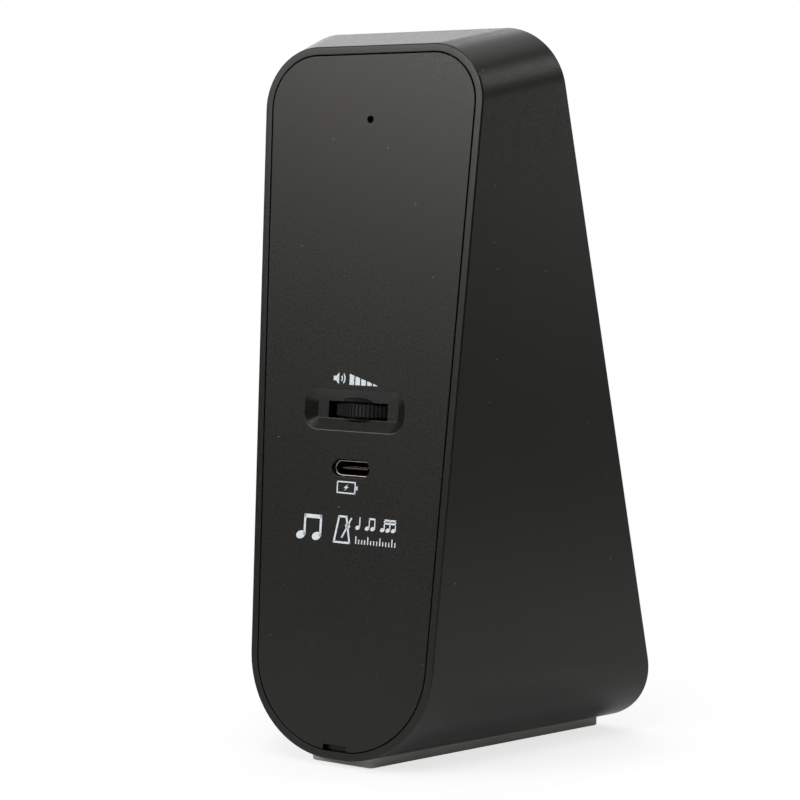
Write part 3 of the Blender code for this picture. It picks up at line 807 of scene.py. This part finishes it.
def note_mark(x0, z0, height, heads, beams, spacing):
    """One note, or several joined by beams, standing on z0."""
    head = height * 0.17
    half = height * 0.047
    shapes = []
    for i in range(heads):
        x = x0 + spacing * i
        shapes.append(ellipse(x, z0 + head, head * 1.25, head * 0.9, 22))
        stem = x + head * 1.05
        shapes.append(rectangle(stem - half, stem + half, z0 + head, z0 + height))
    if heads > 1:
        left = x0 + head * 1.05 - half
        right = x0 + spacing * (heads - 1) + head * 1.05 + half
        for i in range(beams):
            top = z0 + height - 0.24 * height * i
            shapes.append(rectangle(left, right, top - 0.15 * height, top))
    return shapes


def pendulum_mark(x0, z0, height):
    """A little metronome: tapered body, swinging rod and bob."""
    foot_half, top_half, top = 0.36 * height, 0.17 * height, z0 + height
    body = [(x0 - foot_half, z0), (x0 + foot_half, z0), (x0 + top_half, top), (x0 - top_half, top)]
    shapes = stroke(body, 0.42, closed=True)
    foot, tip = (x0, z0 + 0.2 * height), (x0 + 0.4 * height, z0 + 0.95 * height)
    shapes += stroke([foot, tip], 0.36)
    middle = (foot[0] * 0.4 + tip[0] * 0.6, foot[1] * 0.4 + tip[1] * 0.6)
    shapes.append(ellipse(*middle, 0.6, 0.6, 0.0))
    return shapes


def print_marks(name, shapes, y, matrix, finish, body, slot, thick=INK):
    """Makes a print on the surface at depth y."""
    bodies = [prism(shape, y - thick, y + thick) for shape in shapes]
    item = make_piece(name, bodies, matrix, finish)
    stand_for(item, body, slot)


def beat_pattern():
    """Two notes, a little metronome, a row of note values and a row of ticks, all on one line."""
    base = 43.4
    shapes = note_mark(-11.6, base - 0.1, 5.4, heads=2, beams=1, spacing=4.0)
    shapes += pendulum_mark(-1.2, base, 5.4)
    x, spacing = 2.6, 1.35
    for heads, beams in ((1, 0), (2, 1), (3, 2)):
        shapes += note_mark(x, base + 2.9, 2.7, heads, beams, spacing)
        x += spacing * heads + 1.0
    for i in range(14):
        left = 2.2 + 0.74 * i
        tall = 1.6 if i % 4 == 0 else 0.9
        shapes.append(rectangle(left, left + 0.26, base, base + tall))
    return shapes


def make_rear_marks(looks):
    """The symbols by the volume wheel and the socket, and the pattern of notes below them."""
    ramp_base = VOLUME_Z + 5.3
    marks = {
        "volume_ramp_print": ramp_mark(-1.45, 5.85, ramp_base, 2.3),
        "volume_speaker_print": speaker_mark(-4.0, ramp_base + 1.25, 2.9),
        "charging_print": battery_mark(-0.8, USB_Z - 4.0, 4.4, 2.3),
        "beat_pattern_print": beat_pattern(),
    }
    for name, shapes in marks.items():
        print_marks(name, shapes, 0.0, REAR, looks["ink"], "casing", "casing_plastic")


# Front

def display_cut():
    """The display's opening, with a fine bevel at its mouth and a step that the lens rests on."""
    rows = ((0.12, -1.0), (0.12, 0.0), (0.04, 0.04), (0.0, 0.12), (0.0, 1.7), (-1.8, 1.7), (-1.8, 5.0))
    return [at_depth(rounded_taper(DISPLAY_OUTLINE, grow, 12), y) for grow, y in rows], False


def speaker_cuts(depth):
    """A round patch of level slots over the speaker."""
    cuts = []
    for row in range(-3, 4):
        offset = row * SLOT_PITCH
        reach = math.sqrt(SLOT_REACH ** 2 - offset ** 2) - SLOT_R

        def slot(grow):
            return stadium(reach, SLOT_R + grow, 8)

        cuts.append(lipped_cut(slot, depth, 0.3, z0=SPEAKER_Z + offset))
    return cuts


def make_front_panel(looks):
    """The front panel: display opening, holes for dial and keys, speaker slots, and posts behind."""
    def outline(grow):
        return rounded_taper(FRONT_OUTLINE, -RIM - GAP + grow)

    plate = slab(outline, 0.0, FRONT_PANEL_DEPTH, SEAM_EDGE)
    panel = make_piece("front_panel_skin", [plate], FRONT, looks["fascia"])
    back = FRONT_PANEL_DEPTH - 0.1
    posts = [prism(rounded_taper(DISPLAY_OUTLINE, 1.0, 8), back, 3.2)]
    posts += [prism(circle(POST_R, 24), back, POST_BACK, x, z) for x, z in POSTS]
    combine(panel, posts, "UNION", FRONT)
    through = 4.0
    cuts = [display_cut()]
    cuts.append(lipped_cut(lambda grow: circle(KNOB_HOLE_R + grow, 40), through, 0.2, z0=KNOB_Z))
    for x, z in BUTTONS.values():
        cuts.append(lipped_cut(lambda grow: circle(BUTTON_R + GAP + grow, 64), through, 0.25, x, z))
    cuts += speaker_cuts(through)
    combine(panel, cuts, "DIFFERENCE", FRONT)
    finish_piece(panel)
    stand_for(panel, "casing", "fascia_plastic", "front_panel")


def make_display(looks):
    """The smoked lens, and three unlit digits behind it."""
    def outline(grow):
        return rounded_taper(DISPLAY_OUTLINE, -GAP + grow, 12)

    lens = make_piece("display_lens_skin", [slab(outline, 0.0, 1.4, 0.12)], FRONT, looks["lens"])
    finish_piece(lens)
    stand_for(lens, "casing", "smoked_lens", "display_lens")
    segments = []
    for place in (-1, 0, 1):
        segments += digit_shapes(place * DIGIT_PITCH, DIGIT_Z, 13.2, 7.4, 1.35)
    bodies = [prism(shape, DIGIT_Y, DIGIT_Y + 0.1) for shape in segments]
    digits = make_piece("digit_segments", bodies, FRONT, looks["segment"])
    stand_for(digits, "casing", "light_guide")


def digit_shapes(x0, z0, height, width, thick):
    """The seven bars of one digit, slanted a little, with mitred ends."""
    slant = 0.12
    gap = 0.18
    half_x, half_z, t = width / 2, height / 2, thick / 2
    shapes = []
    for z in (-half_z + t, 0.0, half_z - t):
        a, b = -half_x + t + gap, half_x - t - gap
        shapes.append([(a, z), (a + t, z - t), (b - t, z - t), (b, z), (b - t, z + t), (a + t, z + t)])
    for x in (-half_x + t, half_x - t):
        for low, high in ((-half_z + t + gap, -gap), (gap, half_z - t - gap)):
            bar = [(x, low), (x + t, low + t), (x + t, high - t), (x, high), (x - t, high - t)]
            shapes.append(bar + [(x - t, low + t)])
    return [[(x0 + x + slant * z, z0 + z) for x, z in shape] for shape in shapes]


def make_knob(looks):
    """Ribbed tempo dial with a chamfered top, a shallow dish, a finger dimple and a pointer line."""
    def plain(radius, y):
        return at_depth(circle(radius, 4 * KNOB_RIBS), y)

    def grip(inset, y):
        return at_depth(ribbed(KNOB_R - inset, KNOB_RIB_DEPTH, KNOB_RIBS), y)

    top = KNOB_TOP_Y
    crown = KNOB_CROWN_R + KNOB_CROWN_EDGE
    hub = ((2.95, -7.2), (2.95, -2.0), (5.5, -2.0), (5.5, -7.7))
    skirt = ((13.5, -7.7), (13.5, -0.5), (crown, -0.5))
    loops = [plain(radius, y) for radius, y in hub + skirt]
    loops += [grip(inset, y) for inset, y in ((0.25, -0.7), (0.0, -1.0), (0.0, top + 1.5), (0.3, top + 1.2))]
    for i in range(6):
        t = math.pi / 2 * i / 5
        radius = KNOB_CROWN_R + KNOB_CROWN_EDGE * math.cos(t)
        loops.append(plain(radius, top + KNOB_CROWN_EDGE * (1 - math.sin(t))))
    for radius, fall in ((13.2, 0.0), (12.9, 0.06), (12.5, 0.25), (9.0, 0.34), (5.0, 0.4), (1.0, 0.42)):
        loops.append(plain(radius, top + fall))
    place = FRONT @ Matrix.Translation(Vector((0.0, 0.0, KNOB_Z)) * MM)
    knob = make_piece("tempo_knob_skin", [(loops, False)], place, looks["knob"], 30.0)
    dimple = []
    for i in range(9):
        t = math.pi / 2 * i / 8
        outline = circle(2.9 * math.cos(t) + 0.05, 48)
        dimple.append(at_depth(outline, top - 0.1 + 1.15 * math.sin(t), z0=8.2))
    combine(knob, [(dimple, False)], "DIFFERENCE", place)
    finish_piece(knob, 30.0)
    stand_for(knob, "tempo_dial", "knob_plastic", "tempo_knob")
    line = [rectangle(-0.35, 0.35, 12.95, 14.3)]
    print_marks("tempo_pointer_print", line, top, place, looks["front_ink"], "tempo_dial", "knob_plastic")


def key_profile():
    """Rows (radius, depth) from the middle of a key's domed top, over its edge, to its flange and plunger."""
    edge = 0.6
    top = BUTTON_TOP_Y
    profile = [(0.6, top), (2.2, top), (3.4, top + 0.03), (4.2, top + 0.1)]
    for i in range(6):
        t = math.pi / 2 * i / 5
        profile.append((BUTTON_R - edge + edge * math.sin(t), top + 0.18 + edge * (1 - math.cos(t))))
    back = FRONT_PANEL_DEPTH + GAP
    profile += [(BUTTON_R, back), (BUTTON_R + 1.0, back), (BUTTON_R + 1.0, back + 1.0)]
    return profile + [(1.5, back + 1.0), (1.5, 7.4)]


def make_keys(looks):
    """The four keys and the marks printed on them."""
    for name, (x, z) in BUTTONS.items():
        key = make_piece(f"{name}_button_skin", [turned(key_profile(), x, z)], FRONT, looks["key"], 40.0)
        finish_piece(key, 40.0)
        stand_for(key, f"{name}_key", "key_rubber", f"{name}_button")
        mark, depth = key_mark(name, x, z), BUTTON_TOP_Y + INK
        body, ink = f"{name}_key", looks["front_ink"]
        print_marks(f"{name}_key_print", mark, depth, FRONT, ink, body, "key_rubber", INK * 1.5)


def key_mark(name, x, z):
    """Notes for the beat, a loudspeaker for the sound, a ring for tapping, and play and pause."""
    if name == "beat":
        return note_mark(x - 1.1, z - 1.8, 3.6, heads=2, beams=1, spacing=2.0)
    if name == "sound":
        return speaker_mark(x, z, 3.6)
    if name == "tap":
        ring = [band(x, z, 1.9, 0.35, a, a + 90) for a in (0, 90, 180, 270)]
        return ring + [ellipse(x, z, 0.8, 0.8, 0.0)]
    play = [(x - 2.0, z - 1.5), (x + 0.3, z), (x - 2.0, z + 1.5)]
    pause = [rectangle(left, left + 0.55, z - 1.5, z + 1.5) for left in (x + 0.7, x + 1.7)]
    return [play] + pause


def make_front_marks(looks):
    """A ring of ticks round the tempo dial, with a minus and a plus at its ends."""
    shapes = []
    ticks = 41
    for i in range(ticks):
        angle = math.radians(-135 + 270 * i / (ticks - 1))
        reach, width = (2.9, 0.28) if i % 5 == 0 else (2.2, 0.18)
        inner, outer = KNOB_R + 1.3, KNOB_R + reach
        across, up = math.sin(angle), math.cos(angle)
        ends = [(radius * across, KNOB_Z + radius * up) for radius in (inner, outer)]
        shapes += stroke(ends, width)
    x, z, half, thin = 14.6, KNOB_Z - 15.6, 1.0, 0.16
    for middle in (-x, x):
        shapes.append(rectangle(middle - half, middle + half, z - thin, z + thin))
    shapes.append(rectangle(x - thin, x + thin, z + thin, z + half))
    shapes.append(rectangle(x - thin, x + thin, z - half, z - thin))
    print_marks("tempo_scale_print", shapes, 0.0, FRONT, looks["front_ink"], "casing", "fascia_plastic")


def finish_cad_nodes(looks):
    """Gives the CAD nodes that still show their finishes."""
    by_slot = {
        "casing_plastic": "casing", "fascia_plastic": "fascia", "knob_plastic": "knob", "pad_rubber": "pad",
        "key_rubber": "key", "smoked_lens": "lens", "digit_face": "digit_face", "light_guide": "guide",
        "steel": "plain_steel", "board_laminate": "board", "component_plastic": "component",
        "painted_steel": "painted", "cone_paper": "paper", "foam": "foam", "grille_fabric": "cloth",
        "cell_wrap": "cell", "lead_red": "red", "lead_black": "black",
    }
    slots = {row["node"]: row["material_slot"] for row in frame["record"]["subparts"]}
    for name, item in frame["nodes"].items():
        item.data.materials.clear()
        item.data.materials.append(looks[by_slot[slots[name]]])


# Studio, in metres

# Each soft box: where it hangs, as azimuth and elevation in degrees, its size, and its power.
SOFT_BOXES = (
    ("overhead_box", (0.0, 88.0), (1.3, 1.3), 10.0),
    ("backdrop_box", (45.0, 22.0), (0.75, 0.55), 2.65),
    ("front_box", (10.0, 40.0), (0.6, 0.5), 2.9),
    ("panel_box", (158.0, 22.0), (0.5, 0.2), 5.0),
    ("rear_box", (140.0, 30.0), (0.4, 0.3), 5.6),
    ("corner_box", (300.0, 35.0), (0.4, 0.4), 2.7),
    ("side_box", (300.0, 5.0), (0.8, 0.22), 1.35),
    ("low_box", (346.0, 7.0), (0.5, 0.2), 1.3),
    ("right_box", (75.0, 14.0), (0.5, 0.4), 2.5),
    ("camera_box", (192.0, 54.0), (0.3, 0.3), 2.6),
)
SOFT_BOX_DISTANCE = 1.2
SOFT_BOX_AIM = Vector((0.0, 0.0, 0.08))
FILL = 0.01

# To the camera, the floor is clear by the share NEAR_CLEAR close to the object, and turns wholly clear over
# the two distances of NEAR_FADE. To other rays, it turns clear over the two distances of FAR_FADE.
FLOOR_RADIUS = 1.2
FLOOR_GLOW = 0.08
FAR_FADE = (0.17, 0.45)
NEAR_FADE = (0.045, 0.11)
NEAR_CLEAR = 0.72

# The camera, as fitted to the photo.
CAMERA_AZIMUTH = 212.45
CAMERA_ELEVATION = 5.49
CAMERA_DISTANCE = 0.47
CAMERA_TARGET = Vector((-0.0097, 0.0217, 0.0763))
CAMERA_LENS = 102.6


def direction(azimuth, elevation):
    """Unit vector towards an azimuth, counted from -Y towards +X, and an elevation."""
    turn, rise = math.radians(azimuth), math.radians(elevation)
    return Vector((math.sin(turn) * math.cos(rise), -math.cos(turn) * math.cos(rise), math.sin(rise)))


def hang(item, angles, target, distance):
    """Places an object at a distance from a target, looking at it, and adds it to the scene."""
    away = direction(*angles)
    item.location = target + away * distance
    item.rotation_euler = (-away).to_track_quat("-Z", "Y").to_euler()
    bpy.context.scene.collection.objects.link(item)


def add_soft_box(name, angles, size, energy):
    light = bpy.data.lights.new(name, "AREA")
    light.shape = "RECTANGLE"
    light.size, light.size_y = size
    light.energy = energy
    item = bpy.data.objects.new(name, light)
    item.visible_camera = False
    hang(item, angles, SOFT_BOX_AIM, SOFT_BOX_DISTANCE)


def make_world():
    """White behind everything, and a weak even fill on the object."""
    world = bpy.data.worlds.new("studio")
    world.use_nodes = True
    bpy.context.scene.world = world
    tree = world.node_tree
    fill = tree.nodes["Background"]
    fill.inputs["Color"].default_value = (1.0, 1.0, 1.0, 1.0)
    fill.inputs["Strength"].default_value = FILL
    white = node(tree, "ShaderNodeBackground", Strength=1.0, Color=(1.0, 1.0, 1.0, 1.0))
    path = tree.nodes.new("ShaderNodeLightPath")
    mix = tree.nodes.new("ShaderNodeMixShader")
    tree.links.new(path.outputs["Is Camera Ray"], mix.inputs[0])
    tree.links.new(fill.outputs[0], mix.inputs[1])
    tree.links.new(white.outputs[0], mix.inputs[2])
    tree.links.new(mix.outputs[0], tree.nodes["World Output"].inputs["Surface"])


def fade(tree, length, distances, start):
    """Value that goes from start to one over a pair of distances."""
    item = node(tree, "ShaderNodeMapRange", interpolation_type="SMOOTHSTEP")
    item.inputs["From Min"].default_value, item.inputs["From Max"].default_value = distances
    item.inputs["To Min"].default_value = start
    tree.links.new(length, item.inputs["Value"])
    return item.outputs["Result"]


def make_floor_finish():
    """A pale finish that turns clear away from the object, so that only a faint shadow is seen."""
    finish, tree, shader = start_material("floor_pale", (0.88, 0.88, 0.88), 0.9, specular=0.0)
    shader.inputs["Emission Color"].default_value = (1.0, 1.0, 1.0, 1.0)
    shader.inputs["Emission Strength"].default_value = FLOOR_GLOW
    places = tree.nodes.new("ShaderNodeTexCoord")
    length = node(tree, "ShaderNodeVectorMath", operation="LENGTH")
    tree.links.new(places.outputs["Object"], length.inputs[0])
    far = fade(tree, length.outputs["Value"], FAR_FADE, 0.0)
    near = fade(tree, length.outputs["Value"], NEAR_FADE, NEAR_CLEAR)
    path = tree.nodes.new("ShaderNodeLightPath")
    seen = node(tree, "ShaderNodeMath", operation="MULTIPLY")
    most = node(tree, "ShaderNodeMath", operation="MAXIMUM")
    clear = tree.nodes.new("ShaderNodeBsdfTransparent")
    mix = tree.nodes.new("ShaderNodeMixShader")
    tree.links.new(near, seen.inputs[0])
    tree.links.new(path.outputs["Is Camera Ray"], seen.inputs[1])
    tree.links.new(far, most.inputs[0])
    tree.links.new(seen.outputs[0], most.inputs[1])
    tree.links.new(most.outputs[0], mix.inputs[0])
    tree.links.new(shader.outputs[0], mix.inputs[1])
    tree.links.new(clear.outputs[0], mix.inputs[2])
    tree.links.new(mix.outputs[0], tree.nodes["Material Output"].inputs["Surface"])
    return finish


def make_floor():
    """A round floor under the object."""
    bm = bmesh.new()
    bmesh.ops.create_circle(bm, cap_ends=True, segments=96, radius=FLOOR_RADIUS)
    mesh = bpy.data.meshes.new("floor")
    bm.to_mesh(mesh)
    bm.free()
    floor = bpy.data.objects.new("floor", mesh)
    bpy.context.scene.collection.objects.link(floor)
    mesh.materials.append(make_floor_finish())


def make_studio():
    for soft_box in SOFT_BOXES:
        add_soft_box(*soft_box)
    make_world()
    make_floor()
    bpy.context.scene.view_settings.view_transform = "Standard"


def make_camera():
    camera = bpy.data.cameras.new("camera")
    camera.lens = CAMERA_LENS
    camera.clip_start = 0.01
    item = bpy.data.objects.new("camera", camera)
    hang(item, (CAMERA_AZIMUTH, CAMERA_ELEVATION), CAMERA_TARGET, CAMERA_DISTANCE)
    bpy.context.scene.camera = item


def main():
    looks = make_materials()
    finish_cad_nodes(looks)
    make_shell(looks)
    make_pad(looks)
    make_rear_panel(looks)
    make_volume_wheel(looks)
    make_socket_shell(looks)
    make_socket_tongue(looks)
    make_rear_marks(looks)
    make_front_panel(looks)
    make_display(looks)
    make_knob(looks)
    make_keys(looks)
    make_front_marks(looks)
    make_studio()
    make_camera()


main()
